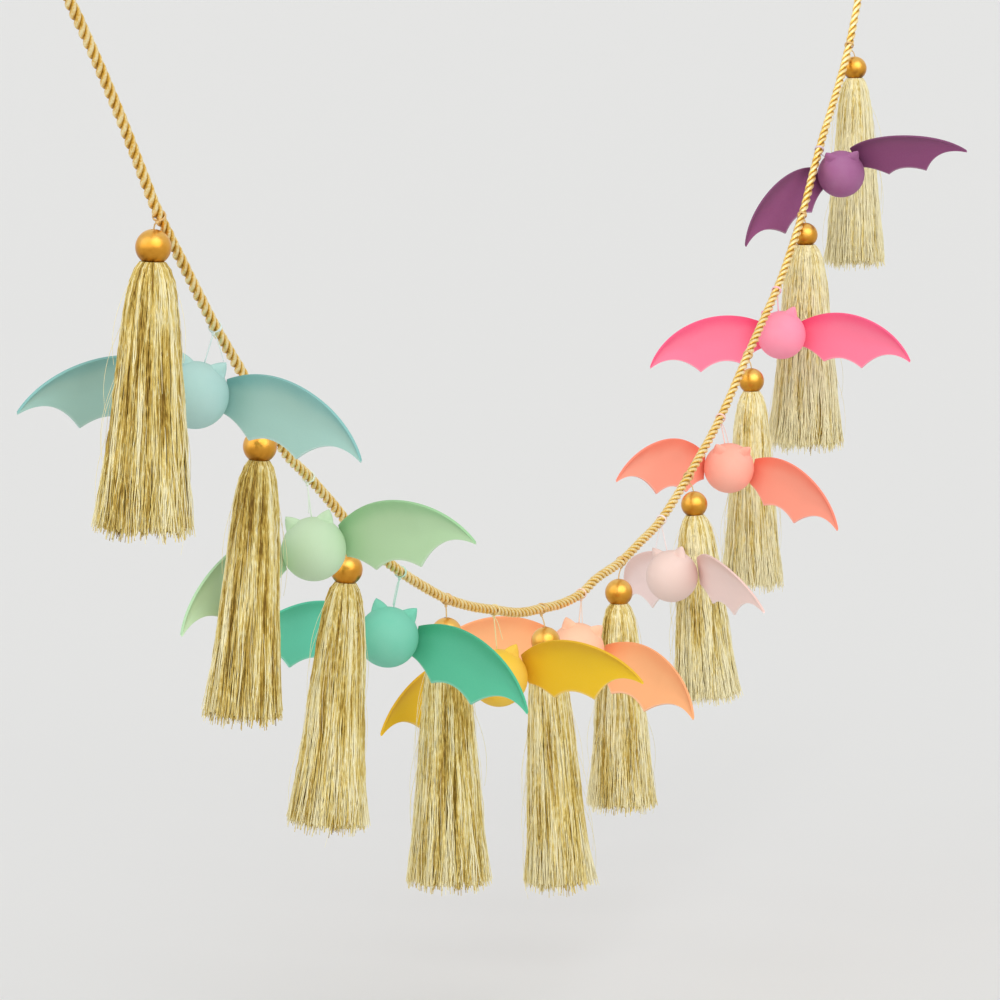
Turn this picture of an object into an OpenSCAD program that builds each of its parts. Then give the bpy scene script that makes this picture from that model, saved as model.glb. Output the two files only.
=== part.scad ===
// Bat garland: a gold cord that hangs in a curve, with beaded tassels and round paper bats
// taking turns along it. Millimetres, +Z up, +X along the garland. The origin is the point
// inside the left hanging loop where a hook holds it.

/* [Cord] */
// Diameter of the main cord
cord_d = 5; // [4:0.5:6]
// Length of the knot under each hanging loop
knot_len = 8; // [6:1:10]
// Diameter of that knot
knot_d = 9; // [8:0.5:12]
// Diameter of the cord that the hanging loops are bent from
loop_cord_d = 4; // [3:0.5:5]

/* [Threads] */
// Diameter of the thread that a tassel or a bat hangs on
thread_d = 1.2; // [0.8:0.1:1.4]
// Diameter of the small knot where that thread leaves the cord
tie_d = 1.8; // [1.6:0.1:2]
// Clearance of a thread's loop around the cord, and of each seat
seat_gap = 0.3; // [0.2:0.05:0.4]

/* [Tassels] */
// Diameter of a bead
bead_d = 16; // [14:0.5:18]
// Diameter of the hole through a bead
bead_bore_d = 3; // [2.4:0.2:4]
// Height of the flat under a bead, below its middle
bead_flat = 6.5; // [5:0.5:7]
// Number of fibre bundles around a skirt
bundles = 9; // [7:1:12]
// Depth of the furrows between bundles
furrow = 1.6; // [0.8:0.2:2]

/* [Bats] */
// Diameter of a bat's body
ball_d = 31; // [27:1:34]
// Width of an ear where it leaves the body
ear_w = 7.5; // [7:0.5:10]
// How far an ear stands out of the body
ear_h = 5.5; // [4:0.5:7]
// Angle between an ear and the top of the body, in degrees
ear_angle = 31; // [27:1:36]
// Length of a wing, from its root behind the body to its tip
wing_len = 77; // [65:1:85]
// Thickness of a wing
wing_t = 1.2; // [1:0.1:1.6]
// Height of the leading edge above the middle of the body
wing_rise = 15; // [12:0.5:18]
// How far the tip lies below the middle of the body
wing_drop = 17.5; // [12:0.5:20]
// How far the outer point of the lower edge lies below the middle of the body
outer_point = 21.5; // [18:0.5:25]
// How far the inner point of the lower edge lies below the middle of the body
inner_point = 17; // [13:1:18]
// How far the tip comes forward
wing_cup = 3; // [2:1:12]
// How far the leading edge rolls forward
edge_curl = 8; // [3:1:10]

/* [Hidden] */
// The cord's path, as [x, z]; the garland hangs in the plane y = 0
ROUTE = [
    [18, -15], [51, -43], [86, -76], [114, -105], [131, -122], [164, -149], [198, -176],
    [232, -200], [263, -224], [290, -243], [320, -257], [352, -273], [388, -292], [420, -306],
    [454, -319], [490, -331], [527, -342], [567, -351], [607, -358], [650, -365], [691, -368],
    [728, -370], [765, -369], [796, -364], [844, -360], [885, -353], [927, -345], [986, -325],
    [1058, -296], [1122, -262], [1191, -226], [1222, -206], [1255, -181], [1299, -140],
    [1345, -103], [1378, -73], [1402, -43], [1419, -22]
];
// Each bat: name, route point, thread length, thread lean, turns of its body, of its left wing
// and of its right wing, colour. A turn is [roll, yaw, nod], as seen from where the bats face
BATS = [
    ["blue", 6, 14.1, -16.7, [13, 0, 5], [10, 28, 1], [7, -21, -3], "#9cc2b8"],
    ["mint", 10, 16.6, 4.1, [-10, 0, 5], [-15, 37, 1], [-18, -24, -10], "#a6cba0"],
    ["teal", 14, 15.6, -10.8, [14, 0, 0], [12, 29, -10], [12, -26, -5], "#55bb95"],
    ["mustard", 18, 18.6, 3.9, [-4, 2, 5], [-4, 40, -5], [-16, -28, -5], "#deb619"],
    ["peach", 22, 13.9, -3.9, [13, 0, 15], [9, 10, -12], [13, -32, -14], "#fdb27c"],
    ["light_pink", 26, 16, 11.1, [-8, -35, 5], [-18, -73, -9], [-6, -53, 1], "#f1d3d2"],
    ["coral", 28, 13.3, 10, [5, 4, 35], [11, 32, -16], [13, -34, -1], "#fe9c85"],
    ["hot_pink", 30, 10.5, 6.9, [-8, 0, 15], [-2, 6, -7], [-2, -20, -6], "#ff7a9a"],
    ["purple", 33, 3.4, 42, [-3, 4, 35], [-22, 26, 5], [-24, -25, 20], "#86466f"]
];
// Each tassel: route point, thread length, thread lean, skirt lean, skirt length, hem radius
TASSELS = [
    [4, 3.5, -11, -2.4, 122, 21],
    [8, 2.6, -13, -3.8, 124, 18],
    [12, 8, -15.5, -4.5, 124, 19],
    [16, 7.2, 0, 0.5, 128, 21],
    [20, 7.8, 7, 3.4, 132, 19],
    [24, 7.7, -4, 1.1, 121, 19],
    [27, 6.9, 12, 3.9, 114, 20],
    [29, 6, 8, 0.6, 125, 18.5],
    [32, 2.6, 10, 0.5, 134, 24],
    [35, 5.5, 14, 0.5, 127, 19.5]
];

// Every pendant faces this way: its turn about the plumb line, from facing across the garland
face_turn = -72;
cord_sides = 8;
cord_r = cord_d / 2;
ball_r = ball_d / 2;
bead_r = bead_d / 2;
bead_flat_r = sqrt(bead_r * bead_r - bead_flat * bead_flat);
// The thread's loop runs around the cord, and its knot sits under the loop
ring_r = cord_r + seat_gap + thread_d / 2;
tie_drop = cord_r + seat_gap + tie_d / 2;
// The loops fill what is left between a cord's end and its hook, and start inside the knot
hook_reach = norm(ROUTE[0]);
loop_sunk = 1;
loop_r = (hook_reach - knot_len + loop_sunk + loop_cord_d) / 2;
last = len(ROUTE) - 1;

function point(i) = [ROUTE[i][0], 0, ROUTE[i][1]];
function clamp_index(i) = max(0, min(last, i));
// The slope of the cord at a route point, in degrees
function slope(i) =
    let (a = ROUTE[clamp_index(i - 1)], b = ROUTE[clamp_index(i + 1)])
    atan2(b[1] - a[1], b[0] - a[0]);
// A point between two route points, on a smooth curve through all of them
function on_curve(i, t) =
    let (
        p0 = ROUTE[clamp_index(i - 1)],
        p1 = ROUTE[i],
        p2 = ROUTE[clamp_index(i + 1)],
        p3 = ROUTE[clamp_index(i + 2)]
    )
    0.5 * (2 * p1 + (p2 - p0) * t + (2 * p0 - 5 * p1 + 4 * p2 - p3) * t * t
        + (3 * p1 - p0 - 3 * p2 + p3) * t * t * t);

// A tube along a list of points: rings across the path, closed at both ends
module tube(points, r, sides) {
    n = len(points);
    function ahead(i) = points[min(n - 1, i + 1)] - points[max(0, i - 1)];
    rings = [
        for (i = [0 : n - 1])
            let (
                along = ahead(i) / norm(ahead(i)),
                across = [-along[1], along[0]]
            )
            for (k = [0 : sides - 1])
                let (c = r * cos(360 * (k + 0.5) / sides), s = r * sin(360 * (k + 0.5) / sides))
                [points[i][0] + across[0] * c, s, points[i][1] + across[1] * c]
    ];
    walls = [
        for (i = [0 : n - 2], k = [0 : sides - 1])
            let (m = (k + 1) % sides)
            for (f = [
                [i * sides + k, i * sides + m, (i + 1) * sides + m],
                [i * sides + k, (i + 1) * sides + m, (i + 1) * sides + k]
            ]) f
    ];
    start = [for (k = [sides - 1 : -1 : 0]) k];
    finish = [for (k = [0 : sides - 1]) (n - 1) * sides + k];
    polyhedron(rings, concat(walls, [start, finish]));
}

// A thread that runs down through a list of points, with a level ring at each
module strand(points) {
    sides = 8;
    n = len(points);
    r = thread_d / 2;
    rings = [
        for (p = points, k = [0 : sides - 1])
            p + [r * cos(360 * k / sides), r * sin(360 * k / sides), 0]
    ];
    walls = [
        for (i = [0 : n - 2], k = [0 : sides - 1])
            let (m = (k + 1) % sides)
            [i * sides + k, i * sides + m, (i + 1) * sides + m, (i + 1) * sides + k]
    ];
    start = [for (k = [sides - 1 : -1 : 0]) k];
    finish = [for (k = [0 : sides - 1]) (n - 1) * sides + k];
    polyhedron(rings, concat(walls, [start, finish]));
}

// The direction of a thread that leans sideways, as seen from where the pendants face
function plumb_out(lean) =
    [sin(lean) * cos(face_turn), sin(lean) * sin(face_turn), -cos(lean)];
// Where a thread ends, as a distance from the cord's middle along its lean
function reach(thread_len) = cord_r + thread_len;

// The thread's loop around the cord, the knot under it, and the thread down through some points
module hanger(station, down) {
    s = slope(station);
    under = point(station) + tie_drop * [sin(s), 0, -cos(s)];
    translate(point(station))
        rotate([0, 90 - s, 0])
            rotate_extrude($fn = 32)
                translate([ring_r, 0]) circle(d = thread_d, $fn = 16);
    translate(under) sphere(d = tie_d, $fn = 16);
    strand(concat([under], down));
}

module main_cord() {
    path = [
        for (i = [0 : last - 1], t = [0, 0.5]) on_curve(i, t),
        ROUTE[last]
    ];
    color("#e0b040") tube(path, cord_r, cord_sides);
}

// A knot and a hanging loop, drawn from the cord's end along +Z
module end_loop() {
    cylinder(h = knot_len, d = knot_d, $fn = 32);
    translate([0, 0, knot_len - loop_sunk + loop_r])
        rotate([90, 0, 0])
            rotate_extrude($fn = 48)
                translate([loop_r - loop_cord_d / 2, 0]) circle(d = loop_cord_d, $fn = 16);
}

module left_loop() {
    first = on_curve(0, 0.5) - ROUTE[0];
    color("#d9a636")
        translate(point(0))
            rotate([0, -90 - atan2(first[1], first[0]), 0]) end_loop();
}

module right_loop() {
    end = ROUTE[last] - on_curve(last - 1, 0.5);
    color("#d9a636")
        translate(point(last))
            rotate([0, 90 - atan2(end[1], end[0]), 0]) end_loop();
}

// Where the middle of a tassel's bead lies
function bead_centre(t) = point(t[0]) + (reach(t[1]) + bead_r) * plumb_out(t[2]);

// Puts a bead or a skirt in place, with the bead's middle at the origin and its axis along Z
module at_tassel(t) {
    translate(bead_centre(t)) rotate([0, 0, face_turn]) rotate([0, -t[3], 0]) children();
}

module tassel_bead(t) {
    color("#d9952b") at_tassel(t) difference() {
        sphere(r = bead_r, $fn = 64);
        cylinder(h = 2 * bead_d, d = bead_bore_d, center = true, $fn = 32);
        translate([0, 0, -bead_flat - bead_d]) cylinder(h = bead_d, r = bead_d, $fn = 32);
    }
}

// A skirt's levels, as [share of its length, share of its hem radius, share of the furrow]
SKIRT = [
    [0.02, 0.36, 0.1], [0.06, 0.43, 0.4], [0.14, 0.5, 0.7], [0.26, 0.56, 0.8],
    [0.45, 0.64, 0.9], [0.65, 0.76, 1], [0.82, 0.88, 1], [0.94, 1, 1], [0.99, 0.97, 0.9]
];

module tassel_skirt(t) {
    long = t[4];
    hem = t[5];
    sides = 2 * bundles;
    levels = len(SKIRT);
    points = concat(
        [for (k = [0 : sides - 1]) let (a = 360 * k / sides)
            [bead_flat_r * cos(a), bead_flat_r * sin(a), -bead_flat]],
        [for (v = SKIRT, k = [0 : sides - 1])
            let (
                a = 360 * k / sides,
                r = max(bead_flat_r, hem * v[1]) - furrow * v[2] * (k % 2)
            )
            [r * cos(a), r * sin(a), -bead_flat - long * v[0]]],
        [[0, 0, -bead_flat - long]]
    );
    walls = [
        for (i = [0 : levels - 1], k = [0 : sides - 1])
            let (m = (k + 1) % sides)
            for (f = [
                [i * sides + k, (i + 1) * sides + m, i * sides + m],
                [i * sides + k, (i + 1) * sides + k, (i + 1) * sides + m]
            ]) f
    ];
    crown = [for (k = [0 : sides - 1]) k];
    base = (levels + 1) * sides;
    floor = [for (k = [0 : sides - 1]) [base, levels * sides + (k + 1) % sides, levels * sides + k]];
    mouth = bead_centre(t) - (bead_r + thread_d / 2) * plumb_out(t[3]);
    neck = bead_centre(t) + (bead_flat + 2 * thread_d) * plumb_out(t[3]);
    color("#d8c37a") {
        at_tassel(t) polyhedron(points, concat(walls, floor, [crown]));
        hanger(t[0], [mouth, neck]);
    }
}

// Where the middle of a bat's body lies
function ball_centre(b) = point(b[1]) + (reach(b[2]) + seat_gap + ball_r) * plumb_out(b[3]);

// Puts a bat's piece in place: the body's middle at the origin, its face towards -Y
module at_bat(b, turn) {
    translate(ball_centre(b))
        rotate([0, 0, face_turn])
            rotate([0, turn[0], 0]) rotate([0, 0, turn[1]]) rotate([turn[2], 0, 0]) children();
}

// A pinched ear: a blunt cone whose front is hollowed. Its foot is inside the body
ear_foot = ball_r * 0.7;
ear_foot_r = ear_w / 2 + 1;
ear_tip_r = 0.9;
hollow_forward = ear_w * 0.36;
hollow_up = 0.5;
hollow_foot_r = ear_w / 2 - 0.3;
hollow_tip_r = 0.3;
module ear(side) {
    tall = ball_r + ear_h - ear_foot;
    rotate([0, side * ear_angle, 0]) translate([0, 0, ear_foot]) difference() {
        cylinder(h = tall, r1 = ear_foot_r, r2 = ear_tip_r, $fn = 32);
        translate([0, -hollow_forward, hollow_up])
            cylinder(h = tall, r1 = hollow_foot_r, r2 = hollow_tip_r, $fn = 32);
    }
}

module bat_body(b) {
    color(b[7]) at_bat(b, b[4]) {
        rotate([0, 90, 90]) sphere(r = ball_r, $fn = 96);
        ear(-1);
        ear(1);
    }
}

// A wing's root stands behind the body, this far round from the back
root_angle = 34;
root_r = ball_r + seat_gap + wing_t / 2;
root_x = root_r * sin(root_angle);
root_y = root_r * cos(root_angle);
tip_x = root_x + wing_len;
// The wing's leading edge is one smooth curve from root to tip, drawn from four handles
root_top = 8.8;
root_foot = -7;
tip_half = 0.5;
crest_pull = wing_rise * 1.41;
shoulder_pull = wing_rise * 0.69;
crest_x = root_x + wing_len * 0.375;
shoulder_x = tip_x - wing_len * 0.134;
LEAD = [
    [root_x, root_top],
    [crest_x, crest_pull],
    [shoulder_x, shoulder_pull],
    [tip_x, tip_half - wing_drop]
];
function lead(t) =
    pow(1 - t, 3) * LEAD[0] + 3 * pow(1 - t, 2) * t * LEAD[1]
    + 3 * (1 - t) * t * t * LEAD[2] + pow(t, 3) * LEAD[3];
// Its lower edge has three scallops that meet in points: ends, rise, and steps along each
inner_share = 0.22;
outer_share = 0.57;
HEM = [
    [root_x + tip_half, root_foot],
    [root_x + wing_len * inner_share, -inner_point],
    [root_x + wing_len * outer_share, -outer_point],
    [tip_x, -tip_half - wing_drop]
];
HEM_RISE = [1.5, 4.1, 6.7];
HEM_STEPS = [3, 5, 7];
hem = [
    for (n = [0 : 2], i = [0 : HEM_STEPS[n] - 1])
        let (t = i / HEM_STEPS[n])
        HEM[n] + (HEM[n + 1] - HEM[n]) * t + [0, 4 * HEM_RISE[n] * t * (1 - t)],
    HEM[3]
];
// Rows of the wing's surface, from the lower edge to the leading edge
ROWS = [0, 0.5, 0.82, 1];
// How far back the surface lies, by its share of the span and of the width. The roll forward
// starts at this share of the width
curl_from = 0.35;
function depth(s, v) =
    root_y * pow(1 - s, 2) - wing_cup * s * s
    - edge_curl * sin(180 * s) * pow(max(0, v - curl_from) / (1 - curl_from), 2);

module wing(side) {
    n = len(hem);
    rows = len(ROWS);
    sheet = [
        for (i = [0 : n - 1], v = ROWS)
            let (
                s = (hem[i][0] - hem[0][0]) / (hem[n - 1][0] - hem[0][0]),
                p = hem[i] + (lead(s) - hem[i]) * v
            )
            [side * p[0], depth(s, v), p[1]]
    ];
    half = n * rows;
    points = concat(
        [for (p = sheet) p - [0, wing_t / 2, 0]],
        [for (p = sheet) p + [0, wing_t / 2, 0]]
    );
    front = [
        for (i = [0 : n - 2], j = [0 : rows - 2])
            let (a = i * rows + j, b = a + 1, c = a + rows, d = c + 1)
            for (f = [[a, b, d], [a, d, c]]) f
    ];
    back = [for (f = front) [f[2] + half, f[1] + half, f[0] + half]];
    outline = concat(
        [for (i = [0 : n - 1]) i * rows],
        [for (j = [1 : rows - 1]) (n - 1) * rows + j],
        [for (i = [n - 2 : -1 : 0]) i * rows + rows - 1],
        [for (j = [rows - 2 : -1 : 1]) j]
    );
    edge = [
        for (k = [0 : len(outline) - 1])
            let (a = outline[k], b = outline[(k + 1) % len(outline)])
            for (f = [[a, b, b + half], [a, b + half, a + half]]) f
    ];
    faces = concat(front, back, edge);
    polyhedron(points, side > 0 ? faces : [for (f = faces) [f[2], f[1], f[0]]]);
}

module bat_left_wing(b) {
    color(b[7]) at_bat(b, b[5]) wing(-1);
}

module bat_right_wing(b) {
    color(b[7]) at_bat(b, b[6]) wing(1);
}

module bat_thread(b) {
    color(b[7]) hanger(b[1], [point(b[1]) + reach(b[2]) * plumb_out(b[3])]);
}

main_cord();
left_loop();
right_loop();
for (i = [1 : len(TASSELS)]) {
    tassel_bead(TASSELS[i - 1]);
    tassel_skirt(TASSELS[i - 1]);
}
for (b = BATS) {
    bat_body(b);
    bat_left_wing(b);
    bat_right_wing(b);
    bat_thread(b);
}
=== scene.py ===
import math

import bmesh
import bpy
import numpy as np
from mathutils import Matrix, Vector


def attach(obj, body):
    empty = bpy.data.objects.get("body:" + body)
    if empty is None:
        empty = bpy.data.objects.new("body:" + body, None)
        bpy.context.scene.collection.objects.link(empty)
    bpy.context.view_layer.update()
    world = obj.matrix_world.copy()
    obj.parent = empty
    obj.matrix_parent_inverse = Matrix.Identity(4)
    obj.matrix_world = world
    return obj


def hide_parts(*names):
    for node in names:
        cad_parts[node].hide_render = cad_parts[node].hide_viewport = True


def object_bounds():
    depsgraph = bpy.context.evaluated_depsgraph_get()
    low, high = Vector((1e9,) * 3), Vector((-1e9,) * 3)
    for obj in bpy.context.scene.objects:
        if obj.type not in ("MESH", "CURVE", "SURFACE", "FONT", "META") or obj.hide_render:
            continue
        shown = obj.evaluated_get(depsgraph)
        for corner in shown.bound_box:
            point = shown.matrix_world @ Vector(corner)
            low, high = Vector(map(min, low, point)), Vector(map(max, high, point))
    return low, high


# A bat garland: a twisted gold cord with beaded tassels and matt paper bats hanging from it.
# Metres, +Z up, +X along the garland, which hangs in the plane y = 0.

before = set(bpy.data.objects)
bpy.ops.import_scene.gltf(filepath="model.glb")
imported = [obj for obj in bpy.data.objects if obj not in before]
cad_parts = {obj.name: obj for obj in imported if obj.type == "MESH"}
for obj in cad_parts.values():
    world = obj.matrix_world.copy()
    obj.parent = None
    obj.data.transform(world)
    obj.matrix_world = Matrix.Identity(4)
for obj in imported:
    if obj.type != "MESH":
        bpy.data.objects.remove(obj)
cad_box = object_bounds()

# Sizes, as in the part's source

ROUTE = [
    (0.018, -0.015), (0.051, -0.043), (0.086, -0.076), (0.114, -0.105), (0.131, -0.122),
    (0.164, -0.149), (0.198, -0.176), (0.232, -0.200), (0.263, -0.224), (0.290, -0.243),
    (0.320, -0.257), (0.352, -0.273), (0.388, -0.292), (0.420, -0.306), (0.454, -0.319),
    (0.490, -0.331), (0.527, -0.342), (0.567, -0.351), (0.607, -0.358), (0.650, -0.365),
    (0.691, -0.368), (0.728, -0.370), (0.765, -0.369), (0.796, -0.364), (0.844, -0.360),
    (0.885, -0.353), (0.927, -0.345), (0.986, -0.325), (1.058, -0.296), (1.122, -0.262),
    (1.191, -0.226), (1.222, -0.206), (1.255, -0.181), (1.299, -0.140), (1.345, -0.103),
    (1.378, -0.073), (1.402, -0.043), (1.419, -0.022),
]
CORD_R = 0.0025
LOOP_CORD_R = 0.002
KNOT_LEN = 0.008
KNOT_R = 0.0045
THREAD_R = 0.00036
SEAT_GAP = 0.0003
TIE_DROP = 0.0037
BEAD_R = 0.008
BEAD_FLAT = 0.0065
BALL_R = 0.0155
EAR_H = 0.0055
EAR_ANGLE = 31
WING_LEN = 0.077
WING_T = 0.0012
WING_RISE = 0.015
WING_DROP = 0.0175
OUTER_POINT = 0.0215
INNER_POINT = 0.017
WING_CUP = 0.003
EDGE_CURL = 0.008
FACE_TURN = -72

# Each bat: route point, thread length, thread lean, and the turns of its body, of its left wing
# and of its right wing. A turn is (roll, yaw, nod), as seen from where the bats face
BATS = {
    "blue": (6, 0.0141, -16.7, (13, 0, 5), (10, 28, 1), (7, -21, -3)),
    "mint": (10, 0.0166, 4.1, (-10, 0, 5), (-15, 37, 1), (-18, -24, -10)),
    "teal": (14, 0.0156, -10.8, (14, 0, 0), (12, 29, -10), (12, -26, -5)),
    "mustard": (18, 0.0186, 3.9, (-4, 2, 5), (-4, 40, -5), (-16, -28, -5)),
    "peach": (22, 0.0139, -3.9, (13, 0, 15), (9, 10, -12), (13, -32, -14)),
    "light_pink": (26, 0.016, 11.1, (-8, -35, 5), (-18, -73, -9), (-6, -53, 1)),
    "coral": (28, 0.0133, 10, (5, 4, 35), (11, 32, -16), (13, -34, -1)),
    "hot_pink": (30, 0.0105, 6.9, (-8, 0, 15), (-2, 6, -7), (-2, -20, -6)),
    "purple": (33, 0.0034, 42, (-3, 4, 35), (-22, 26, 5), (-24, -25, 20)),
}
# Paper colours of each bat: wing, leading edge, body, thread
PAPER = {
    "blue": ("a2cac0", "78b4b0", "a8d0ca", "cfe3e0"),
    "mint": ("b6d8ab", "93c68f", "bedab4", "dcebd8"),
    "teal": ("56c29c", "3bb083", "6cc8ab", "a9d8c6"),
    "mustard": ("f2c505", "e0ad02", "f0c31c", "e3cf86"),
    "peach": ("ffb77f", "fca56e", "ffc4a0", "f0cdb4"),
    "light_pink": ("f6dcd7", "e8c4ba", "edd0c6", "f0dedc"),
    "coral": ("ff9f87", "fd7f64", "ffae98", "f3c7bb"),
    "hot_pink": ("ff7a9a", "fd4f80", "ff8fab", "f7b6c6"),
    "purple": ("8a4274", "733560", "9a4f86", "d8c4d2"),
}
# Each tassel: route point, thread length, thread lean, skirt lean, skirt length, hem radius
TASSELS = [
    (4, 0.0035, -11, -2.4, 0.122, 0.021),
    (8, 0.0026, -13, -3.8, 0.124, 0.018),
    (12, 0.008, -15.5, -4.5, 0.124, 0.019),
    (16, 0.0072, 0, 0.5, 0.128, 0.021),
    (20, 0.0078, 7, 3.4, 0.132, 0.019),
    (24, 0.0077, -4, 1.1, 0.121, 0.019),
    (27, 0.0069, 12, 3.9, 0.114, 0.020),
    (29, 0.006, 8, 0.6, 0.125, 0.0185),
    (32, 0.0026, 10, 0.5, 0.134, 0.024),
    (35, 0.0055, 14, 0.5, 0.127, 0.0195),
]

# Nodes: arithmetic on sockets, and one method for every other node

# Places of the sockets that share their names with others on the same node
MIX_COLOUR_A, MIX_COLOUR_B, MIX_COLOUR_RESULT = 6, 7, 2
RANDOM_LOW, RANDOM_HIGH, RANDOM_RESULT = 2, 3, 1


class Socket:
    """A node's output that takes part in Python arithmetic. Each operation adds a Math node."""

    def __init__(self, nodes, link):
        self.nodes = nodes
        self.link = link

    def output(self, name):
        return Socket(self.nodes, self.link.node.outputs[name])

    def math(self, operation, *values):
        return self.nodes.add("ShaderNodeMath", dict(enumerate(values)), operation=operation)

    def __add__(self, other):
        return self.math("ADD", self, other)

    def __radd__(self, other):
        return self.math("ADD", other, self)

    def __sub__(self, other):
        return self.math("SUBTRACT", self, other)

    def __rsub__(self, other):
        return self.math("SUBTRACT", other, self)

    def __mul__(self, other):
        return self.math("MULTIPLY", self, other)

    def __truediv__(self, other):
        return self.math("DIVIDE", self, other)

    def __pow__(self, other):
        return self.math("POWER", self, other)


class Nodes:
    """A node tree, shader or geometry, that is built by calls of add()."""

    def __init__(self, tree):
        self.tree = tree

    def add(self, kind, values=None, output=0, **settings):
        node = self.tree.nodes.new(kind)
        for name, setting in settings.items():
            setattr(node, name, setting)
        for key, value in (values or {}).items():
            self.put(node.inputs[key], value)
        if not node.outputs:
            return None
        return Socket(self, node.outputs[output])

    def put(self, socket, value):
        if isinstance(value, Socket):
            self.tree.links.new(value.link, socket)
        else:
            socket.default_value = value

    def ramp(self, factor, stops):
        """A colour ramp. stops holds (place, hex colour) pairs."""
        made = self.add("ShaderNodeValToRGB", {"Fac": factor})
        elements = made.link.node.color_ramp.elements
        while len(elements) < len(stops):
            elements.new(0.5)
        for element, (place, colour) in zip(elements, stops):
            element.position = place
            element.color = linear(colour)
        return made

    def smooth(self, value, low, high):
        """0 below low, 1 above high, and an eased step between them."""
        return self.add(
            "ShaderNodeMapRange",
            {"Value": value, "From Min": low, "From Max": high},
            interpolation_type="SMOOTHSTEP",
        )

    def blend(self, factor, a, b):
        return self.add(
            "ShaderNodeMix",
            {"Factor": factor, MIX_COLOUR_A: a, MIX_COLOUR_B: b},
            output=MIX_COLOUR_RESULT,
            data_type="RGBA",
        )

    def noise(self, place, scale, detail=3, roughness=0.5):
        return self.add(
            "ShaderNodeTexNoise",
            {"Vector": place, "Scale": scale, "Detail": detail, "Roughness": roughness},
        )


def linear(colour):
    """A hex colour as the linear values that Blender works in."""
    parts = [int(colour[i : i + 2], 16) / 255 for i in (0, 2, 4)]
    return [p / 12.92 if p <= 0.04045 else ((p + 0.055) / 1.055) ** 2.4 for p in parts] + [1]


# Camera

CAMERA_PLACE = (-1.93101, -0.82786, 0.00134)
LOOK_DOWN = 6.4153
LENS = 181.18


def make_camera():
    data = bpy.data.cameras.new("camera")
    data.lens = LENS
    data.clip_end = 100
    camera = bpy.data.objects.new("camera", data)
    camera.location = CAMERA_PLACE
    camera.rotation_euler = (math.radians(90 - LOOK_DOWN), 0, math.radians(FACE_TURN))
    bpy.context.scene.collection.objects.link(camera)
    bpy.context.scene.camera = camera


# Curves and meshes


def between(points, i, t):
    """A point between points i and i + 1, on a smooth curve through all of them."""
    last = len(points) - 1
    p0, p1, p2, p3 = (points[max(0, min(last, k))] for k in range(i - 1, i + 3))
    return 0.5 * (
        2 * p1
        + (p2 - p0) * t
        + (2 * p0 - 5 * p1 + 4 * p2 - p3) * t**2
        + (3 * p1 - p0 - 3 * p2 + p3) * t**3
    )


def on_curve(i, t):
    """A point of the cord's route, as (x, z)."""
    return between(np.array(ROUTE), i, t)


def route_point(i):
    return Vector((ROUTE[i][0], 0, ROUTE[i][1]))


def route_slope(i):
    """The angle of the cord above the level at a route point."""
    (x0, z0), (x1, z1) = ROUTE[i - 1], ROUTE[i + 1]
    return math.atan2(z1 - z0, x1 - x0)


def smooth_line(points, steps):
    """A smooth line through some points, with this many steps between each two."""
    points = [Vector(p) for p in points]
    line = [between(points, i, k / steps) for i in range(len(points) - 1) for k in range(steps)]
    return line + [points[-1]]


def mesh_piece(name, points, faces, material):
    mesh = bpy.data.meshes.new(name)
    mesh.from_pydata([tuple(p) for p in points], [], faces)
    mesh.materials.append(material)
    piece = bpy.data.objects.new(name, mesh)
    bpy.context.scene.collection.objects.link(piece)
    for polygon in mesh.polygons:
        polygon.use_smooth = True
    return piece


def line_object(name, lines):
    """A curve object with one open line for each list of points."""
    curve = bpy.data.curves.new(name, "CURVE")
    curve.dimensions = "3D"
    for line in lines:
        spline = curve.splines.new("POLY")
        spline.points.add(len(line) - 1)
        for point, place in zip(spline.points, line):
            point.co = (*place, 1)
    made = bpy.data.objects.new(name, curve)
    bpy.context.scene.collection.objects.link(made)
    return made


def new_tree(name, inputs):
    """A Geometry Nodes tree with named inputs, and its Group Input as a socket."""
    tree = bpy.data.node_groups.new(name, "GeometryNodeTree")
    sockets = [("Geometry", "NodeSocketGeometry"), *inputs, ("Material", "NodeSocketMaterial")]
    for label, kind in sockets:
        tree.interface.new_socket(label, in_out="INPUT", socket_type=kind)
    tree.interface.new_socket("Geometry", in_out="OUTPUT", socket_type="NodeSocketGeometry")
    nodes = Nodes(tree)
    return nodes, nodes.add("NodeGroupInput")


def close_tree(nodes, given, geometry):
    """Ends a tree in Realize Instances and Set Material."""
    real = nodes.add("GeometryNodeRealizeInstances", {"Geometry": geometry})
    shaded = nodes.add("GeometryNodeSetShadeSmooth", {"Geometry": real})
    dressed = nodes.add(
        "GeometryNodeSetMaterial",
        {"Geometry": shaded, "Material": given.output("Material")},
    )
    nodes.add("NodeGroupOutput", {"Geometry": dressed})
    return nodes.tree


def grow(source, name, tree, values):
    """Runs a Geometry Nodes tree on an object and keeps the result as a plain mesh piece."""
    modifier = source.modifiers.new(name, "NODES")
    modifier.node_group = tree
    for item in tree.interface.items_tree:
        if item.in_out == "INPUT" and item.name in values:
            modifier[item.identifier] = values[item.name]
    graph = bpy.context.evaluated_depsgraph_get()
    mesh = bpy.data.meshes.new_from_object(
        source.evaluated_get(graph), preserve_all_data_layers=True, depsgraph=graph
    )
    mesh.name = name
    bpy.data.objects.remove(source)
    piece = bpy.data.objects.new(name, mesh)
    bpy.context.scene.collection.objects.link(piece)
    return piece


def finished(piece, slot, *nodes):
    """The piece rides on the garland and stands for these CAD nodes. Its slot is not used."""
    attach(piece, "root")
    if nodes:
        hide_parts(*nodes)
    return piece


# Materials


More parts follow.
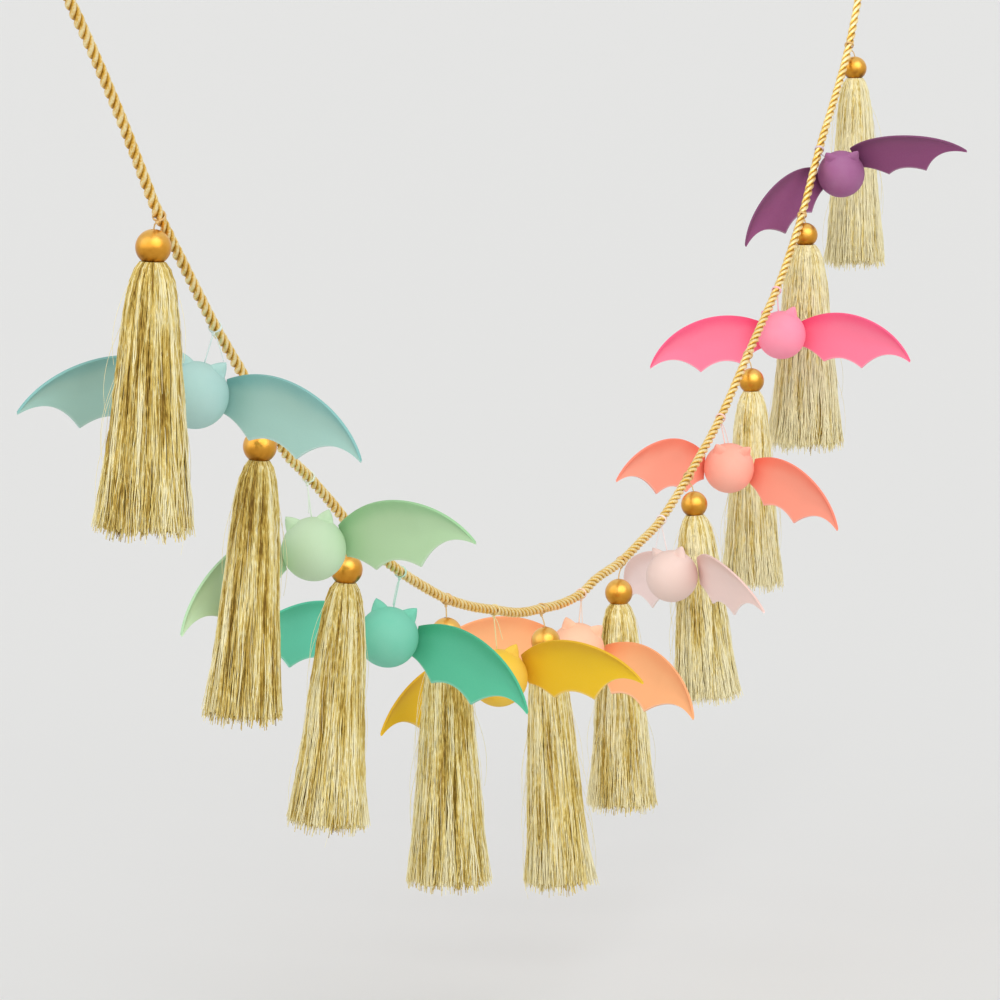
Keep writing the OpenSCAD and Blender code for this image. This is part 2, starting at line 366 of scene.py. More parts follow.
# Colour ramps, as (place, hex colour)
CORD_TONES = [(0.0, "7a4e08"), (0.22, "bd8720"), (0.46, "ebba4c"), (0.72, "ffeeb8")]
BEAD_TONES = [(0.15, "7a4e08"), (0.35, "c48526"), (0.6, "dc9d38"), (0.9, "f0bd62")]
FIBRE_TONES = [
    (0.1, "8a6818"), (0.28, "c09c38"), (0.48, "e0c566"), (0.68, "f5e49c"), (0.9, "fff6cc"),
]
GOLD_THREAD = "d6a848"
PAPER_GLOSS = 0.2


def new_material(name):
    """A material, its nodes, its Principled shader and its Object coordinates."""
    material = bpy.data.materials.new(name)
    material.use_nodes = True
    nodes = Nodes(material.node_tree)
    shader = material.node_tree.nodes["Principled BSDF"]
    place = nodes.add("ShaderNodeTexCoord", output="Object")
    return material, nodes, shader, place


def bump(nodes, shader, height, distance, strength=1.0):
    raised = nodes.add(
        "ShaderNodeBump", {"Height": height, "Distance": distance, "Strength": strength}
    )
    nodes.put(shader.inputs["Normal"], raised)


def gold_cord_material():
    material, nodes, shader, place = new_material("gold_cord")
    ridge = nodes.add("ShaderNodeAttribute", output="Fac", attribute_name="ridge")
    glint = nodes.noise(place, 1100, detail=2, roughness=0.6)
    wear = nodes.noise(place, 70, detail=2)
    # Painted shade and highlight: the colour is darker in the grooves between the plies and lighter
    # on their ridges, and the fine glint noise paints small highlights.
    tone = ridge * 0.62 + (glint - 0.5) * 0.7 + (wear - 0.5) * 0.4 + 0.1
    nodes.put(shader.inputs["Base Color"], nodes.ramp(tone, CORD_TONES))
    nodes.put(shader.inputs["Roughness"], 0.52 - glint * 0.2)
    shader.inputs["Metallic"].default_value = 0.7
    bump(nodes, shader, glint, 0.00012)
    return material


def gold_bead_material(name, centre):
    """Brushed gilding on a bead that has this centre, with painted shade and reflection: darker
    towards the bottom and lighter towards the top.
    """
    material, nodes, shader, place = new_material(name)
    own = nodes.add(
        "ShaderNodeMapping", {"Vector": place, "Location": -centre}, vector_type="POINT"
    )
    height = nodes.add("ShaderNodeSeparateXYZ", {"Vector": own}).output("Z") / BEAD_R
    cloud = nodes.noise(place, 150, detail=3)
    grain = nodes.noise(place, 1800, detail=2)
    # Painted shade and reflection: the tone rises with height on the bead, so its lower side is
    # darker and its top lighter; the cloud noise is a random mottle.
    tone = height * 0.42 + (cloud - 0.5) * 0.7 + 0.56
    nodes.put(shader.inputs["Base Color"], nodes.ramp(tone, BEAD_TONES))
    nodes.put(shader.inputs["Roughness"], 0.24 + cloud * 0.14)
    shader.inputs["Metallic"].default_value = 0.85
    bump(nodes, shader, grain, 0.00004)
    return material


def fibre_material():
    """Silky fibre whose tone runs with each strand's own attribute, which carries painted shade and
    painted light, and streaks along it, with painted glints.
    """
    material, nodes, shader, place = new_material("tassel_fibre")
    tone = nodes.add("ShaderNodeAttribute", output="Fac", attribute_name="tone")
    along = nodes.add(
        "ShaderNodeMapping", {"Vector": place, "Scale": (1, 1, 0.3)}, vector_type="POINT"
    )
    streak = nodes.noise(along, 900, detail=2)
    glint = nodes.smooth(streak, 0.58, 0.72)
    mixed = tone + (streak - 0.5) * 0.7 + glint * 0.1
    nodes.put(shader.inputs["Base Color"], nodes.ramp(mixed, FIBRE_TONES))
    nodes.put(shader.inputs["Roughness"], 0.52 - glint * 0.14)
    shader.inputs["Metallic"].default_value = 0.1
    bump(nodes, shader, streak, 0.00008)
    return material


def lighter(colour, share):
    """A paper colour with some white in it."""
    return [c + (1 - c) * share for c in linear(colour)]


def paper_grain(nodes, shader, place, distance):
    """A fine felted tooth, as on matt painted paper."""
    tooth = nodes.noise(place, 1500, detail=3, roughness=0.6)
    cloud = nodes.noise(place, 90, detail=2)
    bump(nodes, shader, tooth + cloud * 0.5, distance)
    nodes.put(shader.inputs["Roughness"], 0.55 + tooth * 0.15)
    shader.inputs["Specular IOR Level"].default_value = PAPER_GLOSS
    return tooth, cloud


def wing_material(name, wing, edge):
    """Matt paper, deeper along the leading edge, with painted shade near the root where the wing
    meets the body, and a pale cut edge.
    """
    material, nodes, shader, place = new_material(name)
    surface = nodes.add("ShaderNodeUVMap", uv_map="surface")
    share = nodes.add("ShaderNodeSeparateXYZ", {"Vector": surface})
    span, width = share.output("X"), share.output("Y")
    tooth, cloud = paper_grain(nodes, shader, place, 0.00005)
    lead = nodes.smooth(width + cloud * 0.1, 0.66, 1.08)
    # Painted shade: the root band darkens the wing next to the body.
    root = 1 - nodes.smooth(span, 0.0, 0.3)
    deep = nodes.smooth(lead * 0.8 + root * 0.35, 0, 1)
    body = nodes.blend(deep, linear(wing), linear(edge))
    rim = 1 - nodes.smooth(width, 0.01, 0.05)
    pale = nodes.blend(rim * 0.6 + tooth * 0.2, body, lighter(wing, 0.25))
    nodes.put(shader.inputs["Base Color"], pale)
    return material


def body_material(name, body):
    material, nodes, shader, place = new_material(name)
    tooth, cloud = paper_grain(nodes, shader, place, 0.00006)
    light = nodes.blend(cloud * 0.4 + tooth * 0.2, linear(body), lighter(body, 0.2))
    nodes.put(shader.inputs["Base Color"], light)
    return material


def thread_material(name, colour):
    material, nodes, shader, place = new_material(name)
    fuzz = nodes.noise(place, 2500, detail=2)
    pale = nodes.blend(fuzz * 0.3, linear(colour), linear("ffffff"))
    nodes.put(shader.inputs["Base Color"], pale)
    nodes.put(shader.inputs["Roughness"], 0.5 + fuzz * 0.2)
    bump(nodes, shader, fuzz, 0.0001)
    return material


# Twisted cord

PLIES = 3
LAY = 0.019
PLY_GROOVE = 0.6
PLY_RISE = 0.48
PLY_EASE = 0.75
POINTS_PER_PLY = 6
ROUTE_STEPS = 8
CORD_STEP = 0.00055


def cord_tree():
    """A rope along a curve: a lobed profile that turns once in each lay."""
    nodes, given = new_tree(
        "twisted_cord",
        [("Radius", "NodeSocketFloat"), ("Lay", "NodeSocketFloat"), ("Step", "NodeSocketFloat")],
    )
    line = nodes.add(
        "GeometryNodeResampleCurve",
        {"Curve": given, "Length": given.output("Step")},
        mode="LENGTH",
    )
    length = nodes.add("GeometryNodeSplineParameter", output="Length")
    turned = nodes.add(
        "GeometryNodeSetCurveTilt",
        {"Curve": line, "Tilt": length * math.tau / given.output("Lay")},
    )
    circle = nodes.add(
        "GeometryNodeCurvePrimitiveCircle", {"Resolution": POINTS_PER_PLY * PLIES, "Radius": 1.0}
    )
    place = nodes.add("GeometryNodeInputPosition")
    split = nodes.add("ShaderNodeSeparateXYZ", {"Vector": place})
    angle = split.math("ARCTAN2", split.output("Y"), split.output("X"))
    lobe = angle.math("COSINE", angle * (PLIES / 2))
    lobe = lobe.math("ABSOLUTE", lobe)
    ridge = lobe**PLY_EASE
    shaped = nodes.add(
        "ShaderNodeVectorMath",
        {0: place, "Scale": (PLY_GROOVE + ridge * PLY_RISE) * given.output("Radius")},
        operation="SCALE",
    )
    marked = keep(nodes, circle, "ridge", ridge)
    profile = nodes.add("GeometryNodeSetPosition", {"Geometry": marked, "Position": shaped})
    uneven = nodes.add("ShaderNodeTexNoise", {"Scale": 90.0, "Detail": 2.0})
    rope = nodes.add(
        "GeometryNodeCurveToMesh",
        {
            "Curve": turned,
            "Profile Curve": profile,
            "Scale": 0.9 + uneven * 0.2,
            "Fill Caps": True,
        },
    )
    return close_tree(nodes, given, rope)


def make_cord(tree, gold):
    path = [
        Vector((p[0], 0, p[1]))
        for i in range(len(ROUTE) - 1)
        for p in (on_curve(i, t / ROUTE_STEPS) for t in range(ROUTE_STEPS))
    ] + [route_point(len(ROUTE) - 1)]
    cord = grow(
        line_object("cord_line", [path]),
        "twisted_gold_cord",
        tree,
        {"Radius": CORD_R, "Lay": LAY, "Step": CORD_STEP, "Material": gold},
    )
    finished(cord, "gold_cord", "main_cord")


def helix(turns, radius, length, steps=16):
    """Points of a winding around +Z, from the origin up."""
    count = int(turns * steps)
    return [
        Vector(
            (
                radius * math.cos(math.tau * k / steps),
                radius * math.sin(math.tau * k / steps),
                length * k / count,
            )
        )
        for k in range(count + 1)
    ]


# A loop's two legs stand this far apart from its middle, inside the neck
LEG_X = 0.0012
LEG_FOOT = 0.001
LEG_TOP = 0.005
WHIPPING_R = 0.0011
WHIPPING_SWELL = 1.1
WHIPPING_TURNS = 4
WHIPPING_LAY = 0.003
WHIPPING_STEP = 0.0004
LOOP_STEP = 0.0006


def make_end_loops(tree, gold):
    """At each end the cord is bent into a hanging loop, and its neck is whipped with cord."""
    last = len(ROUTE) - 1
    first_step = on_curve(0, 0.5) - np.array(ROUTE[0])
    last_step = np.array(ROUTE[last]) - on_curve(last - 1, 0.5)
    ends = [
        ("left_loop", route_point(0), -90 - math.degrees(math.atan2(first_step[1], first_step[0]))),
        ("right_loop", route_point(last), 90 - math.degrees(math.atan2(last_step[1], last_step[0]))),
    ]
    hook_reach = route_point(0).length
    loop_r = (hook_reach - KNOT_LEN + LEG_FOOT + 2 * LOOP_CORD_R) / 2
    middle = loop_r - LOOP_CORD_R
    turns = [math.radians(a) for a in range(-80, 261, 10)]
    centre = KNOT_LEN - LEG_FOOT + loop_r
    ring = [(middle * math.cos(a), 0, centre + middle * math.sin(a)) for a in turns]
    leg = [(LEG_X, 0, LEG_FOOT), (LEG_X, 0, LEG_TOP)]
    loop = [*leg, *ring, *((-x, y, z) for x, y, z in reversed(leg))]
    winding = helix(WHIPPING_TURNS, KNOT_R - WHIPPING_R, KNOT_LEN - 2 * WHIPPING_R)
    for name, place, tilt in ends:
        turn = Matrix.Translation(place) @ Matrix.Rotation(math.radians(tilt), 4, "Y")
        lift = Vector((0, 0, WHIPPING_R))
        whole = grow(
            line_object(name + "_line", [[turn @ Vector(p) for p in loop]]),
            "twisted_" + name,
            tree,
            {"Radius": LOOP_CORD_R, "Lay": LAY, "Step": LOOP_STEP, "Material": gold},
        )
        finished(whole, "gold_cord", name)
        whipping = grow(
            line_object(name + "_whipping_line", [[turn @ (p + lift) for p in winding]]),
            name + "_whipping",
            tree,
            {
                "Radius": WHIPPING_R * WHIPPING_SWELL,
                "Lay": WHIPPING_LAY,
                "Step": WHIPPING_STEP,
                "Material": gold,
            },
        )
        finished(whipping, "gold_cord", name)


# Hanging threads


def plumb_out(lean):
    """The direction of a thread that leans sideways, as seen from where the pendants face."""
    lean, turn = math.radians(lean), math.radians(FACE_TURN)
    return Vector(
        (math.sin(lean) * math.cos(turn), math.sin(lean) * math.sin(turn), -math.cos(lean))
    )


def tube(points, radius, sides=8):
    """Points and faces of a round tube along a line, closed at both ends."""
    points = [Vector(p) for p in points]
    verts, faces = [], []
    normal = None
    for i, p in enumerate(points):
        ahead = points[min(len(points) - 1, i + 1)] - points[max(0, i - 1)]
        ahead.normalize()
        if normal is None:
            normal = ahead.orthogonal().normalized()
        normal = (normal - ahead * normal.dot(ahead)).normalized()
        across = ahead.cross(normal)
        for k in range(sides):
            a = math.tau * k / sides
            verts.append(p + radius * (normal * math.cos(a) + across * math.sin(a)))
    for i in range(len(points) - 1):
        for k in range(sides):
            m = (k + 1) % sides
            faces.append((i * sides + k, i * sides + m, (i + 1) * sides + m, (i + 1) * sides + k))
    start = tuple(range(sides - 1, -1, -1))
    end = tuple((len(points) - 1) * sides + k for k in range(sides))
    return verts, faces + [start, end]


def joined(shapes):
    """Several (points, faces) shapes as one."""
    verts, faces = [], []
    for points, their_faces in shapes:
        faces += [tuple(i + len(verts) for i in f) for f in their_faces]
        verts += points
    return verts, faces


WRAP_TURNS = 1.9
WRAP_WIDTH = 0.0015
TIE_R = 0.0005
TIE_LEN = 0.0012
TIE_TURNS = 2
TIE_STEPS = 10
# A tail's points: how far each is along its lean, and how many times the droop below that
TAIL = [(0.003, 0), (0.006, 1), (0.008, 2)]
TAIL_THINNING = 0.6
DROOP = Vector((0, 0, -0.003))


def hanger(station, down, tail_lean=None):
    """A thread wound round the cord, tied under it, and led down through some points."""
    slope = route_slope(station)
    place = route_point(station)
    under = place + TIE_DROP * Vector((math.sin(slope), 0, -math.cos(slope)))
    wrap_r = CORD_R + THREAD_R
    along = Matrix.Translation(place) @ Matrix.Rotation(math.radians(90) - slope, 4, "Y")
    middle = Vector((0, 0, WRAP_WIDTH / 2))
    wrap = [along @ (p - middle) for p in helix(WRAP_TURNS, wrap_r, WRAP_WIDTH)]
    knot_turn = Matrix.Translation(under + Vector((0, 0, -TIE_R)))
    knot = [knot_turn @ p for p in helix(TIE_TURNS, TIE_R, TIE_LEN, TIE_STEPS)]
    shapes = [
        tube(wrap, THREAD_R),
        tube(knot, THREAD_R),
        tube(smooth_line([under, *down], 4), THREAD_R),
    ]
    if tail_lean is not None:
        way = plumb_out(tail_lean)
        tail = [under] + [under + way * reach + droops * DROOP for reach, droops in TAIL]
        shapes.append(tube(smooth_line(tail, 4), THREAD_R * TAIL_THINNING, 6))
    return joined(shapes)


# Tassels

# The skirt's outline from the bead to the hem, as (share of its length, share of hem radius)
SKIRT_OUTLINE = [
    (0, 0.25), (0.02, 0.34), (0.06, 0.44), (0.12, 0.515), (0.22, 0.59),
    (0.42, 0.68), (0.62, 0.775), (0.82, 0.87), (0.95, 0.95), (1, 0.97),
]
FIBRES = 1500
FIBRE_POINTS = 14
FIBRE_R = 0.00028
STRAYS = 60
LOCK_SIZE = 5.3
CORE_REACH = 0.78
CORE_LENGTH = 0.92
# Painted shade: the core is darker than the fibres, for the shade inside the skirt.
CORE_PAINTED_SHADE = 0.3
# The first tassels have the same tone, and each one after them is a step lighter, as painted light:
# the same yarn is painted lighter along the garland as if lit more strongly.
FIRST_TONE = 0.35
PAINTED_LIGHT_STEP = 0.05
PLAIN_TASSELS = 2
SEED_STEP = 100


def bead_centre(tassel):
    station, thread, lean = tassel[:3]
    return route_point(station) + (CORD_R + thread + BEAD_R) * plumb_out(lean)


def tassel_place(tassel):
    return (
        Matrix.Translation(bead_centre(tassel))
        @ Matrix.Rotation(math.radians(FACE_TURN), 4, "Z")
        @ Matrix.Rotation(math.radians(-tassel[3]), 4, "Y")
    )


def outline_curve(nodes, share):
    made = nodes.add("ShaderNodeFloatCurve", {"Value": share})
    curve = made.link.node.mapping.curves[0]
    scale = 1 / SKIRT_OUTLINE[-1][1]
    curve.points[0].location = (0, SKIRT_OUTLINE[0][1] * scale)
    curve.points[1].location = (1, 1)
    for place, height in SKIRT_OUTLINE[1:-1]:
        curve.points.new(place, height * scale)
    made.link.node.mapping.update()
    return made * SKIRT_OUTLINE[-1][1]


def random_value(nodes, low, high, seed):
    return nodes.add(
        "FunctionNodeRandomValue",
        {RANDOM_LOW: low, RANDOM_HIGH: high, "Seed": seed},
        output=RANDOM_RESULT,
        data_type="FLOAT",
    )


def keep(nodes, geometry, name, value):
    """Stores a number on each point of a geometry."""
    return nodes.add(
        "GeometryNodeStoreNamedAttribute",
        {"Geometry": geometry, "Name": name, "Value": value},
        data_type="FLOAT",
        domain="POINT",
    )


def kept(nodes, name):
    return nodes.add("GeometryNodeInputNamedAttribute", {"Name": name}, data_type="FLOAT")


def waver(nodes, x, y, z, scale=1.0, detail=1.0):
    """Smooth noise around 0 at a place made of three numbers."""
    place = nodes.add("ShaderNodeCombineXYZ", {"X": x, "Y": y, "Z": z})
    return nodes.noise(place, scale, detail) - 0.5


def strand_lines(nodes, count, seed):
    """One line of points for each fibre, with the fibre's own random numbers."""
    points = nodes.add("GeometryNodePoints", {"Count": count})
    for offset, (name, low, high) in enumerate(
        [("angle", 0, math.tau), ("depth", 0, 1), ("cut", 0, 1), ("sway", -1, 1), ("shade", 0, 1)]
    ):
        points = keep(nodes, points, name, random_value(nodes, low, high, seed + 10 * offset))
    line = nodes.add("GeometryNodeCurvePrimitiveLine", {"Start": (0, 0, 0), "End": (0, 0, -1)})
    line = nodes.add("GeometryNodeResampleCurve", {"Curve": line, "Count": FIBRE_POINTS})
    line = keep(nodes, line, "along", nodes.add("GeometryNodeSplineParameter") ** 1.4)
    placed = nodes.add("GeometryNodeInstanceOnPoints", {"Points": points, "Instance": line})
    return nodes.add("GeometryNodeRealizeInstances", {"Geometry": placed})


def fibre_tubes(nodes, lines, angle, reach, drop, thickness, tone):
    """Gives each line its place round the skirt, its tone and a thickness."""
    place = nodes.add(
        "ShaderNodeCombineXYZ",
        {
            "X": angle.math("COSINE", angle) * reach,
            "Y": angle.math("SINE", angle) * reach,
            "Z": 0 - drop - BEAD_FLAT,
        },
    )
    lines = keep(nodes, lines, "tone", tone)
    bent = nodes.add("GeometryNodeSetPosition", {"Geometry": lines, "Position": place})
    profile = nodes.add("GeometryNodeCurvePrimitiveCircle", {"Resolution": 3, "Radius": FIBRE_R})
    return nodes.add(
        "GeometryNodeCurveToMesh",
        {"Curve": bent, "Profile Curve": profile, "Scale": thickness, "Fill Caps": True},
    )


def locks(nodes, angle, along, seed):
    """Lengthwise locks: noise that runs round the skirt and changes slowly along it."""
    return waver(
        nodes,
        angle.math("COSINE", angle) * LOCK_SIZE,
        angle.math("SINE", angle) * LOCK_SIZE,
        along * 2.4 + seed * 3.7,
        detail=2.0,
    )


def fibres(nodes, given, seed):
    """Crimped fibres from under the bead to the hem, gathered in locks, loose at their ends."""
    lines = strand_lines(nodes, given.output("Fibres"), seed)
    along, angle, depth = kept(nodes, "along"), kept(nodes, "angle"), kept(nodes, "depth")
    cut, sway, shade = kept(nodes, "cut"), kept(nodes, "sway"), kept(nodes, "shade")
    hem = given.output("Hem Radius")
    lock = locks(nodes, angle, along, seed)
    crimp = waver(nodes, angle * 31, depth * 23, along * 17)
    curl = waver(nodes, angle * 29, depth * 19 + 7, along * 15)
    loose = along**7
    reach = outline_curve(nodes, along) * (1.01 - depth * depth * (0.3 + along * 0.25))
    reach = reach + lock * along * 0.3 + loose * (cut - 0.4) * 0.16
    reach = reach * hem + curl * 0.0026
    turned = angle + lock * along * 0.35 + crimp * 0.3 + sway * (along * 0.04 + loose * 0.1)
    share = 0.94 + depth * 0.032 + cut * 0.02 + cut**12 * 0.035
    # Painted shade and light: fibres deeper inside the skirt and in the grooves between the locks
    # are darker, fibres on the locks' crests are lighter, and the loose ends at the hem are paler as
    # painted highlight; the random shade number and the crimp add random tone.
    tone = shade * 0.34 + lock * 2.1 + crimp * 0.3 - depth * 0.2 + loose * 0.15
    tone = tone + given.output("Tone")
    return fibre_tubes(
        nodes,
        lines,
        turned,
        reach,
        along * share * given.output("Length"),
        0.6 + along.math("SQRT", along) * 0.4 - loose * 0.25,
        tone,
    )


def strays(nodes, given, seed):
    """Fine hairs that bow out of the skirt and fall back towards it."""
    lines = strand_lines(nodes, given.output("Strays"), seed + 5)
    along, angle, depth = kept(nodes, "along"), kept(nodes, "angle"), kept(nodes, "depth")
    cut, sway = kept(nodes, "cut"), kept(nodes, "sway")
    down = cut * 0.72 + along * (0.24 + depth * 0.1)
    bow = along.math("SINE", along * math.pi * 0.8) * depth * depth * 0.006
    reach = outline_curve(nodes, down) * given.output("Hem Radius") * 0.99 + bow
    # Painted highlight: stray hairs take a tone near the pale end of the fibre ramp.
    return fibre_tubes(
        nodes,
        lines,
        angle + sway * along * 0.3,
        reach,
        down * given.output("Length"),
        0.5 - along * 0.15,
        depth * 0.1 + 0.8,
    )


def core(nodes, given):
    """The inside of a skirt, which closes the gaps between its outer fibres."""
    line = nodes.add("GeometryNodeCurvePrimitiveLine", {"Start": (0, 0, 0), "End": (0, 0, -1)})
    line = nodes.add("GeometryNodeResampleCurve", {"Curve": line, "Count": 24})
    along = nodes.add("GeometryNodeSplineParameter")
    line = keep(nodes, line, "along", along)
    drop = kept(nodes, "along") * given.output("Length") * CORE_LENGTH
    place = nodes.add("ShaderNodeCombineXYZ", {"Z": 0 - drop - BEAD_FLAT})
    line = nodes.add("GeometryNodeSetPosition", {"Geometry": line, "Position": place})
    reach = outline_curve(nodes, kept(nodes, "along")) * given.output("Hem Radius") * CORE_REACH
    # Painted shade: the core's tone is darker than the fibres'.
    line = keep(nodes, line, "tone", kept(nodes, "along") * 0.02 + CORE_PAINTED_SHADE)
    profile = nodes.add("GeometryNodeCurvePrimitiveCircle", {"Resolution": 40, "Radius": 1.0})
    return nodes.add(
        "GeometryNodeCurveToMesh",
        {"Curve": line, "Profile Curve": profile, "Scale": reach, "Fill Caps": True},
    )


def skirt_tree():
    nodes, given = new_tree(
        "tassel_skirt",
        [
            ("Fibres", "NodeSocketInt"),
            ("Strays", "NodeSocketInt"),
            ("Length", "NodeSocketFloat"),
            ("Hem Radius", "NodeSocketFloat"),
            ("Tone", "NodeSocketFloat"),
            ("Seed", "NodeSocketInt"),
        ],
    )
    seed = given.output("Seed")
    parts = nodes.add("GeometryNodeJoinGeometry")
    for shape in (
        core(nodes, given),
        fibres(nodes, given, seed),
        strays(nodes, given, seed),
    ):
        nodes.tree.links.new(shape.link, parts.link.node.inputs[0])
    return close_tree(nodes, given, parts)


def make_tassels(fibre):
    tree = skirt_tree()
    gold_thread = thread_material("gold_thread", GOLD_THREAD)
    for number, tassel in enumerate(TASSELS, 1):
        station, _, _, skirt_lean, length, hem = tassel
        name = f"tassel_{number}"
        source = mesh_piece(name + "_seed", [(0, 0, 0)], [], fibre)
        skirt = grow(
            source,
            name + "_fibres",
            tree,
            {
                "Fibres": FIBRES,
                "Strays": STRAYS,
                "Length": length,
                "Hem Radius": hem,
                "Tone": FIRST_TONE + PAINTED_LIGHT_STEP * max(0, number - PLAIN_TASSELS),
                "Seed": SEED_STEP * number,
                "Material": fibre,
            },
        )
        skirt.data.transform(tassel_place(tassel))
        finished(skirt, "tassel_fibre", name + "_skirt")
        centre, way = bead_centre(tassel), plumb_out(skirt_lean)
        down = [centre - way * (BEAD_R + THREAD_R), centre + way * BEAD_FLAT]
        thread = mesh_piece(name + "_hanger", *hanger(station, down), gold_thread)
        finished(thread, "gold_cord", name + "_skirt")
        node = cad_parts[name + "_bead"]
        node.data.materials.clear()
        node.data.materials.append(gold_bead_material(name + "_gilding", centre))


# Bats

WING_ROWS = 15
SCALLOP_STEPS = (10, 16, 24)
SCALLOP_RISE = (0.0015, 0.0041, 0.0067)
ROOT_ANGLE = 34
ROOT_R = BALL_R + SEAT_GAP + WING_T / 2
ROOT_X = ROOT_R * math.sin(math.radians(ROOT_ANGLE))
ROOT_Y = ROOT_R * math.cos(math.radians(ROOT_ANGLE))
TIP_X = ROOT_X + WING_LEN
TIP_HALF = 0.0005
ROOT_TOP = 0.0088
ROOT_FOOT = -0.007
CREST_SHARE, CREST_PULL = 0.375, 1.41
SHOULDER_SHARE, SHOULDER_PULL = 0.134, 0.69
INNER_SHARE = 0.22
OUTER_SHARE = 0.57
CURL_FROM = 0.35
CUT_EDGE = 0.0003
# The leading edge's four handles, from root to tip
LEAD = np.array(
    [
        (ROOT_X, ROOT_TOP),
        (ROOT_X + WING_LEN * CREST_SHARE, WING_RISE * CREST_PULL),
        (TIP_X - WING_LEN * SHOULDER_SHARE, WING_RISE * SHOULDER_PULL),
        (TIP_X, TIP_HALF - WING_DROP),
    ]
)
# The ends of the lower edge's three scallops
HEM = np.array(
    [
        (ROOT_X + TIP_HALF, ROOT_FOOT),
        (ROOT_X + WING_LEN * INNER_SHARE, -INNER_POINT),
        (ROOT_X + WING_LEN * OUTER_SHARE, -OUTER_POINT),
        (TIP_X, -TIP_HALF - WING_DROP),
    ]
)


def wing_sheet(side):
    """Points, faces and surface shares of a wing's middle sheet."""
    hem = [
        HEM[n] + (HEM[n + 1] - HEM[n]) * t + np.array([0, 4 * SCALLOP_RISE[n] * t * (1 - t)])
        for n in range(3)
        for t in (i / SCALLOP_STEPS[n] for i in range(SCALLOP_STEPS[n]))
    ] + [HEM[3]]
    points, shares, faces = [], [], []
    for low in hem:
        s = (low[0] - HEM[0][0]) / (HEM[3][0] - HEM[0][0])
        high = (
            (1 - s) ** 3 * LEAD[0]
            + 3 * (1 - s) ** 2 * s * LEAD[1]
            + 3 * (1 - s) * s**2 * LEAD[2]
            + s**3 * LEAD[3]
        )
        for j in range(WING_ROWS):
            v = j / (WING_ROWS - 1)
            x, z = low + (high - low) * v
            rolled = max(0, v - CURL_FROM) / (1 - CURL_FROM)
            curl = EDGE_CURL * math.sin(math.pi * s) * rolled**2
            points.append((side * x, ROOT_Y * (1 - s) ** 2 - WING_CUP * s**2 - curl, z))
            shares.append((s, v))
    for i in range(len(hem) - 1):
        for j in range(WING_ROWS - 1):
            a = i * WING_ROWS + j
            face = (a, a + WING_ROWS, a + WING_ROWS + 1, a + 1)
            faces.append(face if side > 0 else face[::-1])
    return points, faces, shares


def bat_place(bat, turn):
    station, thread, lean = bat[:3]
    roll, yaw, nod = (math.radians(angle) for angle in turn)
    centre = route_point(station) + (CORD_R + thread + SEAT_GAP + BALL_R) * plumb_out(lean)
    return (
        Matrix.Translation(centre)
        @ Matrix.Rotation(math.radians(FACE_TURN), 4, "Z")
        @ Matrix.Rotation(roll, 4, "Y")
        @ Matrix.Rotation(yaw, 4, "Z")
        @ Matrix.Rotation(nod, 4, "X")
    )


def make_wing(name, bat, side, material):
    points, faces, shares = wing_sheet(side)
    word = "left" if side < 0 else "right"
    wing = mesh_piece(f"{name}_paper_{word}_wing", points, faces, material)
    surface = wing.data.uv_layers.new(name="surface")
    for loop in wing.data.loops:
        surface.data[loop.index].uv = shares[loop.vertex_index]
    wing.data.transform(bat_place(bat, bat[4] if side < 0 else bat[5]))
    solid = wing.modifiers.new("thickness", "SOLIDIFY")
    solid.thickness = WING_T
    solid.offset = 0
    solid.use_even_offset = True
    soft = wing.modifiers.new("cut_edge", "BEVEL")
    soft.width = CUT_EDGE
    soft.segments = 2
    soft.limit_method = "ANGLE"
    soft.angle_limit = math.radians(50)
    finished(wing, name + "_paper", f"{name}_{word}_wing")


EAR_WIDE = 0.0044
EAR_DEEP = 0.0034
EAR_BACK = 0.0006
EAR_HOLLOW = 1.0
# Only points whose direction is this close to an ear's, as a cosine, can be in it
EAR_SIDE = 0.5


def pinch_ears(maker):
    """Pulls a ball's surface up into two ears that are hollow in front."""
    for side in (-1, 1):
        stand = Matrix.Rotation(math.radians(side * EAR_ANGLE), 4, "Y")
        up, across, back = (stand @ Vector(axis) for axis in ((0, 0, 1), (1, 0, 0), (0, 1, 0)))
        for vert in maker.verts:
            out = vert.co.normalized()
            if out.dot(up) < EAR_SIDE:
                continue
            wide = out.dot(across) * BALL_R / EAR_WIDE
            deep = (out.dot(back) * BALL_R - EAR_BACK) / EAR_DEEP
            near = 1 - math.hypot(wide, deep)
            if near <= 0:
                continue
            hollow = EAR_HOLLOW * EAR_H * math.sin(math.pi * near) * max(0, -deep)
            vert.co += out * (EAR_H * near - hollow)


def make_body(name, bat, material):
    maker = bmesh.new()
    bmesh.ops.create_icosphere(maker, subdivisions=6, radius=BALL_R)
    pinch_ears(maker)
    mesh = bpy.data.meshes.new(name + "_paper_body")
    maker.to_mesh(mesh)
    maker.free()
    mesh.transform(bat_place(bat, bat[3]))
    mesh.materials.append(material)
    for polygon in mesh.polygons:
        polygon.use_smooth = True
    body = bpy.data.objects.new(mesh.name, mesh)
    bpy.context.scene.collection.objects.link(body)
    finished(body, name + "_paper", name + "_body")


# Bats whose left wing is painted paler than the right one, as painted light on that wing: wing,
# leading edge
PAINTED_LIGHT_LEFT_WINGS = {"mint": ("cdebc4", "b0d8aa"), "teal": ("66d6b6", "4cc29c")}
TAIL_LEANS = (35, 5, -25)
THREAD_END_DEPTH = 0.001


